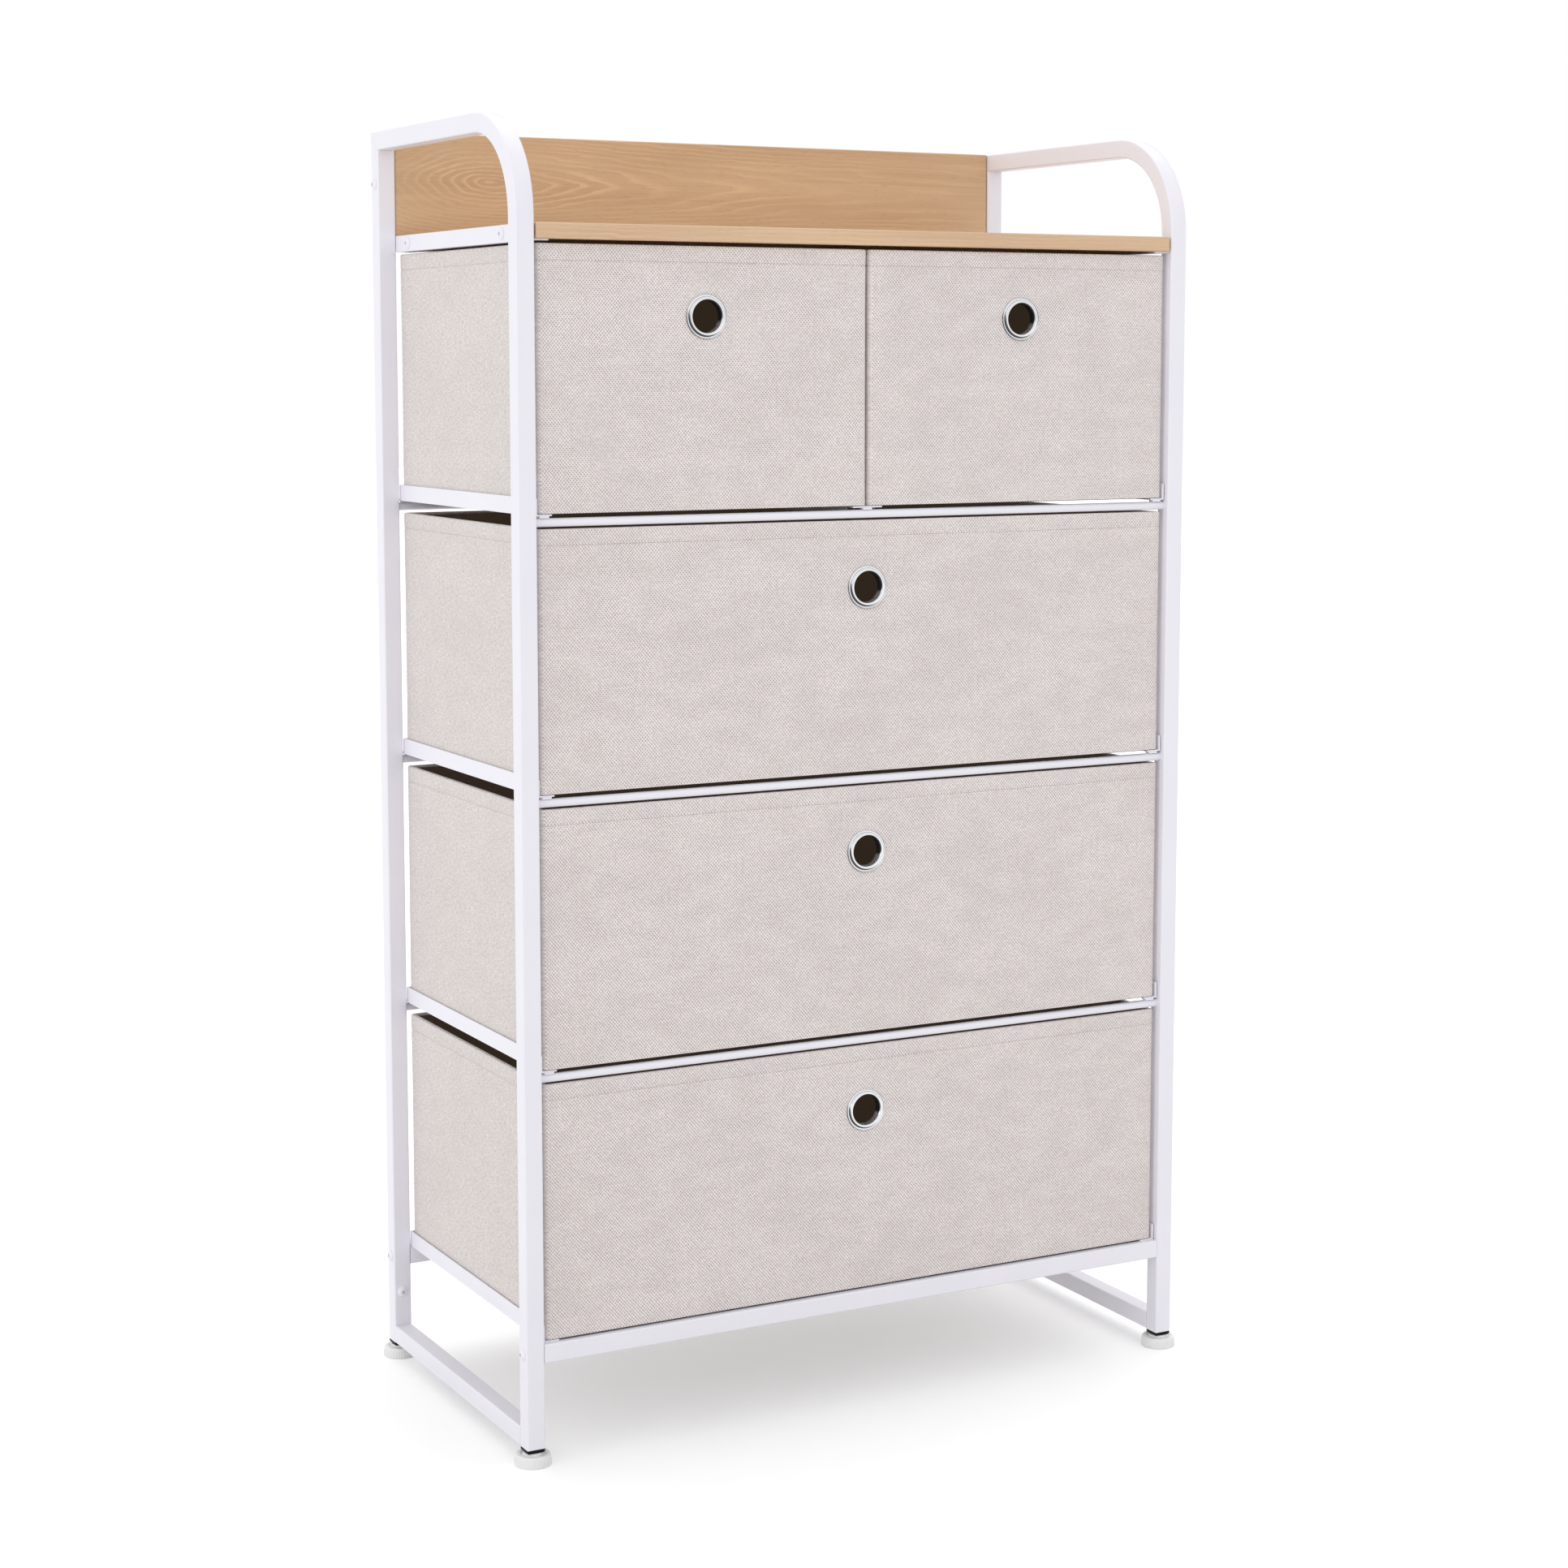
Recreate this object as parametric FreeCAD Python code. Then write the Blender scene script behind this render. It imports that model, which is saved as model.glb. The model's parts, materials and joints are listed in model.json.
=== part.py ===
import FreeCAD, Part
import os

# Fabric drawer dresser: a bent square-tube frame with a wooden top carries five fabric drawers.
# Lengths are in millimetres. X runs along the front, Y from the front to the back, Z up.
# The origin is on the floor under the middle of the frame.

# Frame tubes
frame_width = 600.0
frame_depth = 300.0
frame_height = 1029.0
tube_size = 15.0
tube_wall = 1.2
tube_corner_flat = 0.9
bend_radius = 80.0
low_rail_bottom = 80.0

# Levelling feet and end plugs
foot_base_radius = 14.2
foot_top_radius = 13.5
foot_rim_height = 8.6
foot_rib_count = 32
foot_rib_proud = 0.4
foot_boss_radius = 8.0
foot_boss_height = 10.0
stud_radius = 4.0
stud_length = 30.0
stud_socket_depth = 5.0
running_clearance = 0.05
plug_flange_height = 3.0
plug_chamfer = 1.2
plug_depth = 14.0
plug_clearance = 0.1

# Round bars, angles and tabs
bar_radius = 3.3
angle_leg = 13.2
angle_thickness = 1.2
angle_setback = 4.5
runner_gap = 1.0
tier_count = 4
tab_thickness = 1.6
tab_length = 8.0
tab_width = 6.0
tab_inset = 3.0
centre_runner_width = 26.0
centre_runner_flange = 6.0
centre_flange_setback = 12.0

# Wooden boards
board_thickness = 12.0
back_board_rise = 84.0
top_board_gap = 0.3
back_board_gap = 0.5
back_seat_depth = 1.0
back_seat_gap = 0.3
board_edge_chamfer = 0.8

# Drawers
drawer_bar_gap = 1.6
drawer_shelf_gap = 1.8
drawer_recess = 5.0
drawer_side_gap = 0.8
drawer_stop_gap = 0.3
drawer_middle_gap = 1.5
drawer_corner_radius = 4.0
pocket_chamfer_share = 0.6
fabric_thickness = 1.0
hem_thickness = 2.0
stiffener_thickness = 2.4
base_board_thickness = 3.0
lining_thickness = 0.8

# Eyelets
eyelet_drop = 53.0
eyelet_hole_radius = 12.2
eyelet_barrel_wall = 0.8
eyelet_flange_radius = 17.2
eyelet_proud = 1.8
eyelet_barrel_proud = 0.8
eyelet_clearance = 0.1

# Working allowances
cut_overrun = 1.0
match_tolerance = 0.001

# Positions that follow from the sizes above
half_width = frame_width / 2
half_depth = frame_depth / 2
inner_x = half_width - tube_size
inner_y = half_depth - tube_size
post_x = half_width - tube_size / 2
post_y = half_depth - tube_size / 2
post_bottom = foot_boss_height + plug_flange_height
low_rail_top = low_rail_bottom + tube_size
low_rail_middle = low_rail_bottom + tube_size / 2
runner_x = inner_x - runner_gap
angle_front_y = angle_setback - half_depth
stop_y = half_depth - angle_leg
board_top = frame_height - back_board_rise
board_bottom = board_top - board_thickness
back_board_bottom = board_top - back_seat_depth
back_board_front_y = post_y - board_thickness / 2
back_seat_y = back_board_front_y - back_seat_gap
shelf_bottom = board_bottom - angle_thickness
bar_stack = 2 * bar_radius + tab_thickness
stack_height = shelf_bottom - drawer_shelf_gap - low_rail_top
tier_pitch = (stack_height + bar_stack + drawer_bar_gap) / tier_count
drawer_height = tier_pitch - bar_stack - drawer_bar_gap - angle_thickness
eyelet_height = drawer_height - eyelet_drop
drawer_front_y = drawer_recess - half_depth
drawer_depth = stop_y - drawer_stop_gap - drawer_front_y
drawer_side_x = runner_x - angle_thickness - drawer_side_gap
wall_thickness = fabric_thickness + stiffener_thickness + lining_thickness
eyelet_barrel_radius = eyelet_hole_radius + eyelet_barrel_wall
eyelet_cut_radius = eyelet_barrel_radius + eyelet_clearance

ALONG_X = FreeCAD.Vector(1, 0, 0)
ALONG_Y = FreeCAD.Vector(0, 1, 0)
ALONG_Z = FreeCAD.Vector(0, 0, 1)
ORIGIN = FreeCAD.Vector(0, 0, 0)
quarter_turn = 90.0
full_turn = 360.0


# Helpers

def point(x, y, z):
    return FreeCAD.Vector(x, y, z)


def runner_bottom(tier):
    """Underside of a tier's angles. Tier 1 is the highest."""
    return low_rail_top + tier_pitch * (tier_count - tier)


def bar_height(tier):
    return runner_bottom(tier) - tab_thickness - bar_radius


def drawer_floor(tier):
    return runner_bottom(tier) + angle_thickness


def box(x_limits, y_limits, z_limits):
    """Box between a low and a high limit along each axis."""
    low = point(x_limits[0], y_limits[0], z_limits[0])
    high = point(x_limits[1], y_limits[1], z_limits[1])
    size = high - low
    return Part.makeBox(size.x, size.y, size.z, low)


def shrunk(limits, inset):
    return (limits[0] + inset, limits[1] - inset)


def upright_edges(solid):
    return [edge for edge in solid.Edges if edge.BoundBox.ZLength > solid.BoundBox.ZLength / 2]


def edges_at_height(solid, height):
    """Edges that lie in the level plane at a height."""
    return [
        edge for edge in solid.Edges
        if abs(edge.BoundBox.ZMax - height) < match_tolerance
        and abs(edge.BoundBox.ZMin - height) < match_tolerance
    ]


def rounded_box(x_limits, y_limits, z_limits, radius):
    """Box with its upright edges rounded."""
    solid = box(x_limits, y_limits, z_limits)
    return solid.makeFillet(radius, upright_edges(solid))


def revolved(corners, position, axis):
    """Solid turned from a closed profile of (radius, height) corners about an axis through a position."""
    outline = Part.makePolygon([point(radius, 0, height) for radius, height in corners])
    solid = Part.Face(outline).revolve(ORIGIN, ALONG_Z, full_turn)
    return placed(solid, position, axis)


def placed(solid, position, axis):
    """The solid with its own Z axis turned to an axis and its origin moved to a position."""
    copy = solid.copy()
    copy.Placement = FreeCAD.Placement(position, FreeCAD.Rotation(ALONG_Z, axis))
    return copy


def mirrored(solid):
    """The same piece on the other side of the dresser."""
    return solid.mirror(ORIGIN, ALONG_X)


# Tubes

def square_outline(size, corner):
    """Square outline centred on the origin, with its corners cut off."""
    side = size / 2
    cut = side - corner
    corners = [(side, -cut), (side, cut), (cut, side), (-cut, side)]
    opposite = [(-x, -y) for x, y in corners]
    points = [point(x, y, 0) for x, y in corners + opposite]
    return Part.makePolygon(points + points[:1])


def tube_profile(position, direction):
    """Hollow cross-section of the square tube."""
    outside = square_outline(tube_size, tube_corner_flat)
    opening = tube_size - 2 * tube_wall
    inside = Part.makePlane(opening, opening, point(-opening / 2, -opening / 2, 0)).OuterWire
    profile = Part.makeFace([outside, inside], "Part::FaceMakerBullseye")
    return placed(profile, position, direction)


def straight_tube(start, direction, length):
    return tube_profile(start, direction).extrude(direction * length)


def mitre_wedge(corner_y, corner_z):
    """Prism over one side of the left frame's mitre line. The corner is the one cut away."""
    left = -half_width - cut_overrun
    outer = point(left, half_depth + cut_overrun, frame_height + cut_overrun)
    inner = point(left, inner_y - cut_overrun, frame_height - tube_size - cut_overrun)
    triangle = Part.makePolygon([outer, inner, point(left, corner_y, corner_z), outer])
    return Part.Face(triangle).extrude(point(tube_size + 2 * cut_overrun, 0, 0))


def left_front_tube():
    """Front post, bend and top side rail from one tube, mitred at the back."""
    bend_height = frame_height - bend_radius
    bend_y = bend_radius - half_depth
    post = straight_tube(point(-post_x, -post_y, post_bottom), ALONG_Z, bend_height - post_bottom)
    bend_start = tube_profile(point(-post_x, -post_y, bend_height), ALONG_Z)
    bend = bend_start.revolve(point(-post_x, bend_y, bend_height), -ALONG_X, quarter_turn)
    rail_start = point(-post_x, bend_y, frame_height - tube_size / 2)
    rail = straight_tube(rail_start, ALONG_Y, half_depth - bend_y)
    tube = post.fuse([bend, rail]).removeSplitter()
    wedge = mitre_wedge(half_depth + cut_overrun, frame_height - tube_size - cut_overrun)
    return tube.cut(wedge)


def left_rear_post():
    """Upright tube, mitred at the top to meet the front tube."""
    post = straight_tube(point(-post_x, post_y, post_bottom), ALONG_Z, frame_height - post_bottom)
    wedge = mitre_wedge(inner_y - cut_overrun, frame_height + cut_overrun)
    return post.cut(wedge)


def left_bottom_rail():
    return straight_tube(point(-post_x, -inner_y, post_bottom + tube_size / 2), ALONG_Y, 2 * inner_y)


def cross_rail(y):
    """Low square rail between the posts."""
    return straight_tube(point(-inner_x, y, low_rail_middle), ALONG_X, 2 * inner_x)


def cross_bar(y, tier):
    """Round bar welded between the posts."""
    return Part.makeCylinder(bar_radius, 2 * inner_x, point(-inner_x, y, bar_height(tier)), ALONG_X)


# Angles and tabs

def angle_bar(length):
    """Folded steel angle along Y, with its fold at the origin and its legs along X and Z."""
    corners = [
        (0, 0),
        (angle_leg, 0),
        (angle_leg, angle_thickness),
        (angle_thickness, angle_thickness),
        (angle_thickness, angle_leg),
        (0, angle_leg),
        (0, 0),
    ]
    outline = Part.makePolygon([point(x, 0, z) for x, z in corners])
    return Part.Face(outline).extrude(ALONG_Y * length)


def left_runner(tier):
    """Angle under the left ends of a tier's drawers."""
    runner = angle_bar(stop_y - angle_front_y)
    runner.translate(point(-runner_x, angle_front_y, runner_bottom(tier)))
    return runner


def rear_stop(tier):
    """Angle across the back of a tier, with its upright leg behind the drawers."""
    stop = angle_bar(2 * runner_x)
    stop.rotate(ORIGIN, ALONG_Z, quarter_turn)
    stop.translate(point(runner_x, stop_y, runner_bottom(tier)))
    return stop


def left_shelf_angle():
    """Angle that carries the left end of the top board, as far as the back board."""
    angle = angle_bar(back_seat_y - angle_front_y)
    angle.translate(point(-inner_x, angle_front_y, shelf_bottom))
    return angle


def centre_runner():
    """Inverted channel under the meeting sides of the two small drawers."""
    bottom = runner_bottom(1)
    half = centre_runner_width / 2
    web = box((-half, half), (angle_front_y, stop_y), (bottom, bottom + angle_thickness))
    flange_y = shrunk((angle_front_y, stop_y), centre_flange_setback)
    flange = box((-half, angle_thickness - half), flange_y, (bottom - centre_runner_flange, bottom))
    return web.fuse([flange, mirrored(flange)]).removeSplitter()


def tab(x_limits, y, tier):
    """Small block between a round bar and the angle above it."""
    y_limits = (y - tab_width / 2, y + tab_width / 2)
    return box(x_limits, y_limits, (runner_bottom(tier) - tab_thickness, runner_bottom(tier)))


def runner_tabs():
    tab_end = tab_inset - runner_x
    blocks = [tab((-tab_length / 2, tab_length / 2), -post_y, 1)]
    for tier in range(1, tier_count):
        for y in (-post_y, post_y):
            block = tab((tab_end, tab_end + tab_length), y, tier)
            blocks += [block, mirrored(block)]
    return Part.makeCompound(blocks)


# Boards

def wooden_board(x_half, y_limits, z_limits):
    board = box((-x_half, x_half), y_limits, z_limits)
    return board.makeChamfer(board_edge_chamfer, board.Edges)


def top_board():
    """Shelf with a shallow seat along its rear edge for the back board."""
    x_half = inner_x - angle_thickness - top_board_gap
    board = wooden_board(x_half, (-half_depth, half_depth), (board_bottom, board_top))
    seat_x = (-half_width, half_width)
    seat_y = (back_seat_y, half_depth + cut_overrun)
    return board.cut(box(seat_x, seat_y, (back_board_bottom, board_top + cut_overrun)))


def back_board():
    x_half = inner_x - back_board_gap
    y_limits = (back_board_front_y, back_board_front_y + board_thickness)
    return wooden_board(x_half, y_limits, (back_board_bottom, frame_height))


# Feet

def corner_points():
    """The four post centres, by name."""
    return {
        "front_left": point(-post_x, -post_y, 0),
        "front_right": point(post_x, -post_y, 0),
        "rear_left": point(-post_x, post_y, 0),
        "rear_right": point(post_x, post_y, 0),
    }


def ribbed_corners(radius, height):
    """Points round a ribbed edge, one on each grip rib and one in each groove between them."""
    rib_reach = foot_rib_proud * radius / foot_base_radius
    corners = []
    for step in range(2 * foot_rib_count):
        reach = radius + rib_reach * (step % 2)
        turn = FreeCAD.Rotation(ALONG_Z, step * full_turn / (2 * foot_rib_count))
        corners.append(turn.multVec(point(reach, 0, height)))
    return corners


def flat_face(corners):
    return Part.Face(Part.makePolygon(corners + corners[:1]))


def foot_disc():
    """Tapered plastic disc with a ribbed edge and a boss, which has a socket for the stud."""
    base = ribbed_corners(foot_base_radius, 0)
    rim = ribbed_corners(foot_top_radius, foot_rim_height)
    faces = [flat_face(base), flat_face(rim)]
    for step in range(len(base)):
        faces.append(flat_face([base[step - 1], base[step], rim[step], rim[step - 1]]))
    disc = Part.Solid(Part.Shell(faces))
    boss_start = point(0, 0, foot_rim_height)
    boss = Part.makeCylinder(foot_boss_radius, foot_boss_height - foot_rim_height, boss_start)
    socket_start = point(0, 0, foot_boss_height - stud_socket_depth)
    socket = Part.makeCylinder(stud_radius + running_clearance, stud_socket_depth, socket_start)
    return disc.fuse(boss).cut(socket)


def foot_stud():
    return Part.makeCylinder(stud_radius, stud_length, point(0, 0, foot_boss_height - stud_socket_depth))


def end_plug():
    """Plug in the lower end of a post, with a chamfered flange and a bore for the stud."""
    across = (-tube_size / 2, tube_size / 2)
    flange = box(across, across, (0, plug_flange_height))
    flange = flange.makeChamfer(plug_chamfer, upright_edges(flange) + edges_at_height(flange, 0))
    inside = shrunk(across, tube_wall + plug_clearance)
    body = box(inside, inside, (0, plug_flange_height + plug_depth))
    bore = Part.makeCylinder(stud_radius + running_clearance, plug_flange_height + plug_depth)
    plug = flange.fuse(body).removeSplitter().cut(bore)
    plug.translate(point(0, 0, foot_boss_height))
    return plug


# Drawers

def eyelet_hole(x_limits, tier):
    """Hole through the front wall for the eyelet."""
    middle = point(sum(x_limits) / 2, drawer_front_y - cut_overrun, drawer_floor(tier) + eyelet_height)
    return Part.makeCylinder(eyelet_cut_radius, wall_thickness + 2 * cut_overrun, middle, ALONG_Y)


def drawer_cover(x_limits, tier):
    """Outer fabric: an open box whose hem turns in over the stiffener boards."""
    y_limits = (drawer_front_y, drawer_front_y + drawer_depth)
    floor = drawer_floor(tier)
    top = floor + drawer_height
    cover = rounded_box(x_limits, y_limits, (floor, top), drawer_corner_radius)
    pocket = box(
        shrunk(x_limits, fabric_thickness),
        shrunk(y_limits, fabric_thickness),
        (floor + fabric_thickness, top - hem_thickness),
    )
    pocket_chamfer = (drawer_corner_radius - fabric_thickness) * pocket_chamfer_share
    pocket = pocket.makeChamfer(pocket_chamfer, upright_edges(pocket))
    mouth = box(
        shrunk(x_limits, wall_thickness),
        shrunk(y_limits, wall_thickness),
        (floor + wall_thickness, top + cut_overrun),
    )
    return cover.cut([pocket, mouth, eyelet_hole(x_limits, tier)])


def drawer_boards(x_limits, tier):
    """Stiffener boards in the four walls and the board in the base."""
    low = drawer_floor(tier) + fabric_thickness
    wall_z = (low, drawer_floor(tier) + drawer_height - hem_thickness)
    y_limits = (drawer_front_y, drawer_front_y + drawer_depth)
    outer_x = shrunk(x_limits, fabric_thickness)
    outer_y = shrunk(y_limits, fabric_thickness)
    inner_x_limits = shrunk(outer_x, stiffener_thickness)
    inner_y_limits = shrunk(outer_y, stiffener_thickness)
    wide = shrunk(x_limits, drawer_corner_radius)
    deep = shrunk(y_limits, drawer_corner_radius)
    front = box(wide, (outer_y[0], inner_y_limits[0]), wall_z)
    return Part.makeCompound([
        front.cut(eyelet_hole(x_limits, tier)),
        box(wide, (inner_y_limits[1], outer_y[1]), wall_z),
        box((outer_x[0], inner_x_limits[0]), deep, wall_z),
        box((inner_x_limits[1], outer_x[1]), deep, wall_z),
        box(inner_x_limits, inner_y_limits, (low, low + base_board_thickness)),
    ])


def drawer_lining(x_limits, tier):
    """Inner fabric: an open box between the boards."""
    low = drawer_floor(tier) + fabric_thickness + base_board_thickness
    top = drawer_floor(tier) + drawer_height - hem_thickness
    y_limits = (drawer_front_y, drawer_front_y + drawer_depth)
    outer_inset = fabric_thickness + stiffener_thickness
    lining = box(shrunk(x_limits, outer_inset), shrunk(y_limits, outer_inset), (low, top))
    inside = box(
        shrunk(x_limits, wall_thickness),
        shrunk(y_limits, wall_thickness),
        (low + lining_thickness, top + cut_overrun),
    )
    return lining.cut([inside, eyelet_hole(x_limits, tier)])


def drawer_eyelet(x_limits, tier):
    """Metal eyelet: a sloping ring in front of the wall and a barrel through it."""
    barrel_end = wall_thickness + eyelet_barrel_proud
    profile = [
        (eyelet_hole_radius, -eyelet_proud),
        (eyelet_flange_radius, 0),
        (eyelet_barrel_radius, 0),
        (eyelet_barrel_radius, barrel_end),
        (eyelet_hole_radius, barrel_end),
        (eyelet_hole_radius, -eyelet_proud),
    ]
    middle = point(sum(x_limits) / 2, drawer_front_y, drawer_floor(tier) + eyelet_height)
    return revolved(profile, middle, ALONG_Y)


def drawers():
    """Width limits and tier of each drawer, by name. Two small drawers share the top tier."""
    small = (-drawer_side_x, -drawer_middle_gap / 2)
    wide = (-drawer_side_x, drawer_side_x)
    places = {
        "drawer_1_left": (small, 1),
        "drawer_1_right": ((drawer_middle_gap / 2, drawer_side_x), 1),
    }
    for tier in range(2, tier_count + 1):
        places["drawer_%d" % tier] = (wide, tier)
    return places


# Assembly

def all_pieces():
    """Every piece of the dresser, by name."""
    left_pieces = {
        "front_tube": left_front_tube(),
        "rear_post": left_rear_post(),
        "bottom_rail": left_bottom_rail(),
        "shelf_angle": left_shelf_angle(),
    }
    for tier in range(1, tier_count + 1):
        left_pieces["runner_%d" % tier] = left_runner(tier)
    pieces = {}
    for name, solid in left_pieces.items():
        pieces["left_" + name] = solid
        pieces["right_" + name] = mirrored(solid)
    pieces["front_bottom_rail"] = cross_rail(-post_y)
    pieces["rear_bottom_rail"] = cross_rail(post_y)
    for tier in range(1, tier_count):
        pieces["front_bar_%d" % tier] = cross_bar(-post_y, tier)
    pieces["rear_bars"] = Part.makeCompound([cross_bar(post_y, tier) for tier in range(1, tier_count)])
    pieces["rear_stops"] = Part.makeCompound([rear_stop(tier) for tier in range(1, tier_count + 1)])
    pieces["centre_runner"] = centre_runner()
    pieces["runner_tabs"] = runner_tabs()
    pieces["top_board"] = top_board()
    pieces["back_board"] = back_board()
    disc = foot_disc()
    plugs = []
    for corner, place in corner_points().items():
        pieces[corner + "_foot"] = placed(disc, place, ALONG_Z)
        pieces[corner + "_stud"] = foot_stud().translated(place)
        plugs.append(end_plug().translated(place))
    pieces["end_plugs"] = Part.makeCompound(plugs)
    for name, (x_limits, tier) in drawers().items():
        pieces[name + "_cover"] = drawer_cover(x_limits, tier)
        pieces[name + "_boards"] = drawer_boards(x_limits, tier)
        pieces[name + "_lining"] = drawer_lining(x_limits, tier)
        pieces[name + "_eyelet"] = drawer_eyelet(x_limits, tier)
    return pieces


os.makedirs("parts", exist_ok=True)
for piece_name, piece in all_pieces().items():
    piece.exportStep("parts/%s.step" % piece_name)
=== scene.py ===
import bmesh
import bpy
import json
import math
from mathutils import Matrix, Vector, noise


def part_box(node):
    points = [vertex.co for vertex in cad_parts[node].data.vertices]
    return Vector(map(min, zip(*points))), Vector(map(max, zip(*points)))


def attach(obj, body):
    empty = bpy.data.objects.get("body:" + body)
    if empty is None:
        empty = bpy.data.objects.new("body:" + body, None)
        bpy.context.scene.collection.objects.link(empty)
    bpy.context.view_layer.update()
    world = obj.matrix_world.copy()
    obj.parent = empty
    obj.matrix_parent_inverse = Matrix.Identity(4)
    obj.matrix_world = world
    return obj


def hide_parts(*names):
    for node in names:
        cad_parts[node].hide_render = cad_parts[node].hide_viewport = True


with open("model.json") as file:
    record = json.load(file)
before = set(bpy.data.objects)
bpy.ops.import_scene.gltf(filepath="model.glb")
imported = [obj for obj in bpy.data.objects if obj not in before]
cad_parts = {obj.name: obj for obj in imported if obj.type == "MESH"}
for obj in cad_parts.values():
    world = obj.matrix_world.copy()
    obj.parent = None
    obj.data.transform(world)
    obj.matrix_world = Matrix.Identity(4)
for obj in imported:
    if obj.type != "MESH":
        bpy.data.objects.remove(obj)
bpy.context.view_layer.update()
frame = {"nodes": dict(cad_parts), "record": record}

# Fabric drawer dresser. Lengths are in metres and angles in degrees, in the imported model's own frame.

# Drawer cloth
cover_corner_radius = 0.0040
cover_bottom_radius = 0.0008
cover_top_radius = 0.0014
cloth_thickness = 0.0010
wall_thickness = 0.0042
hem_thickness = 0.0020
hem_inner_radius = 0.0011
seam_drop = 0.0125
seam_depth = 0.00055
seam_half_width = 0.0012
cloth_slack = 0.00045
slack_patch = 0.075
hem_slack_share = 0.4
side_step = 0.009
wall_row_count = 18
arc_steps = 5
least_corner = 0.0004
lining_thickness = 0.0008
lining_slack = 0.0004
lining_floor_radius = 0.0003

# Hem stitches
stitch_pitch = 0.0032
stitch_length = 0.0023
stitch_radius = 0.00028
stitch_sides = 6

# Eyelets
eyelet_hole_radius = 0.0122
eyelet_barrel_wall = 0.0008
eyelet_flange_radius = 0.0172
eyelet_clearance = 0.0001
eyelet_rim_radius = 0.0004
eyelet_flat_height = 0.0003
eyelet_bead_inner_width = 0.0013
eyelet_bead_outer_width = 0.0020
eyelet_bead_rise = 0.0014
eyelet_lip_reach = 0.0012
eyelet_steps = 96
cut_overrun = 0.003
eyelet_barrel_radius = eyelet_hole_radius + eyelet_barrel_wall
eyelet_cut_radius = eyelet_barrel_radius + eyelet_clearance

# Feet
foot_base_radius = 0.0144
foot_top_radius = 0.0137
foot_rim_height = 0.0086
foot_edge_radius = 0.0012
foot_rim_width = 0.0024
foot_dish_depth = 0.0008
foot_boss_radius = 0.0080
foot_rib_count = 40
foot_rib_depth = 0.00045
foot_rib_start = 0.0009
foot_rib_end = 0.0062
foot_steps_per_rib = 8

# Screw heads
screw_head_radius = 0.0047
screw_head_height = 0.0026
screw_rim_height = 0.0005
screw_socket_radius = 0.0017
screw_socket_depth = 0.0022
screw_steps = 48
socket_sides = 6
shelf_screw_front_y = -0.088
shelf_screw_rear_y = 0.108
shelf_screw_height_share = 0.5
post_screw_height = 0.057

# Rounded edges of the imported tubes
metal_edge_radius = 0.0004
metal_edge_segments = 2
edge_angle = 25.0
weld_distance = 0.00001

# Shading of the new meshes: the widest angle between two faces that still blend
smooth_angle = 40.0
stitch_smooth_angle = 60.0
foot_smooth_angle = 30.0
screw_smooth_angle = 35.0
merge_distance = 0.0000001

# Camera, from a fit to the photograph, with less lens shift so that the other views stay whole
camera_place = (-1.1506, -2.1556, 0.8430)
camera_yaw = -28.151
camera_pitch = -6.383
camera_lens = 67.40
camera_shift = -0.06

# Light
world_strength = 1.0
side_strength = 0.40
side_direction = (0.92, 0.28, -0.15)
side_spread = 30.0
top_strength = 0.60
top_direction = (-0.30, -0.32, -0.90)
top_spread = 45.0
floor_size = 40.0
floor_glow = 0.28

# Directions
UP = Vector((0, 0, 1))
INWARD = Vector((0, 1, 0))
FORWARD = Vector((0, -1, 0))
LEFTWARD = Vector((-1, 0, 0))

# Bodies
drawer_names = ("drawer_1_left", "drawer_1_right", "drawer_2", "drawer_3", "drawer_4")
corner_names = ("front_left", "front_right", "rear_left", "rear_right")


# Shader helpers

def srgb(red, green, blue):
    """Linear colour of a screen colour from 0 to 255."""
    def linear(level):
        share = level / 255
        return share / 12.92 if share <= 0.04045 else ((share + 0.055) / 1.055) ** 2.4
    return (linear(red), linear(green), linear(blue), 1.0)


def start_material(name):
    """New material with its node tree and its shader."""
    material = bpy.data.materials.new(name)
    material.use_nodes = True
    return material, material.node_tree, material.node_tree.nodes["Principled BSDF"]


def put(tree, socket, value):
    """Gives a socket a value, or links it where the value is another node's output."""
    if isinstance(value, bpy.types.NodeSocket):
        tree.links.new(value, socket)
    else:
        socket.default_value = value


def set_inputs(tree, node, inputs):
    """Sets or links each named input of a node."""
    for name, value in inputs.items():
        put(tree, node.inputs[name], value)


def add_node(tree, kind, inputs=None, **settings):
    """New shader node with its settings and inputs."""
    node = tree.nodes.new("ShaderNode" + kind)
    for name, value in settings.items():
        setattr(node, name, value)
    set_inputs(tree, node, inputs or {})
    return node


def maths(tree, operation, *values):
    """Output of a maths node."""
    node = add_node(tree, "Math", operation=operation)
    set_inputs(tree, node, dict(enumerate(values)))
    return node.outputs[0]


def object_place(tree):
    """Place on the object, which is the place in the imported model's frame."""
    return add_node(tree, "TexCoord").outputs["Object"]


def split(tree, vector):
    """The X, Y and Z of a vector."""
    return add_node(tree, "SeparateXYZ", {"Vector": vector}).outputs


def normal_axes(tree):
    """The X, Y and Z of the surface's own direction."""
    return split(tree, add_node(tree, "NewGeometry").outputs["Normal"])


def stretched(tree, along, across, along_scale, across_scale):
    """Vector from two coordinates, each with a scale of its own."""
    first = maths(tree, "MULTIPLY", along, along_scale)
    second = maths(tree, "MULTIPLY", across, across_scale)
    return add_node(tree, "CombineXYZ", {"X": first, "Y": second}).outputs["Vector"]


def grain(tree, vector, scale=1.0, detail=2.0, roughness=0.5):
    """Noise from 0 to 1."""
    inputs = {"Vector": vector, "Scale": scale, "Detail": detail, "Roughness": roughness}
    return add_node(tree, "TexNoise", inputs).outputs["Fac"]


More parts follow.
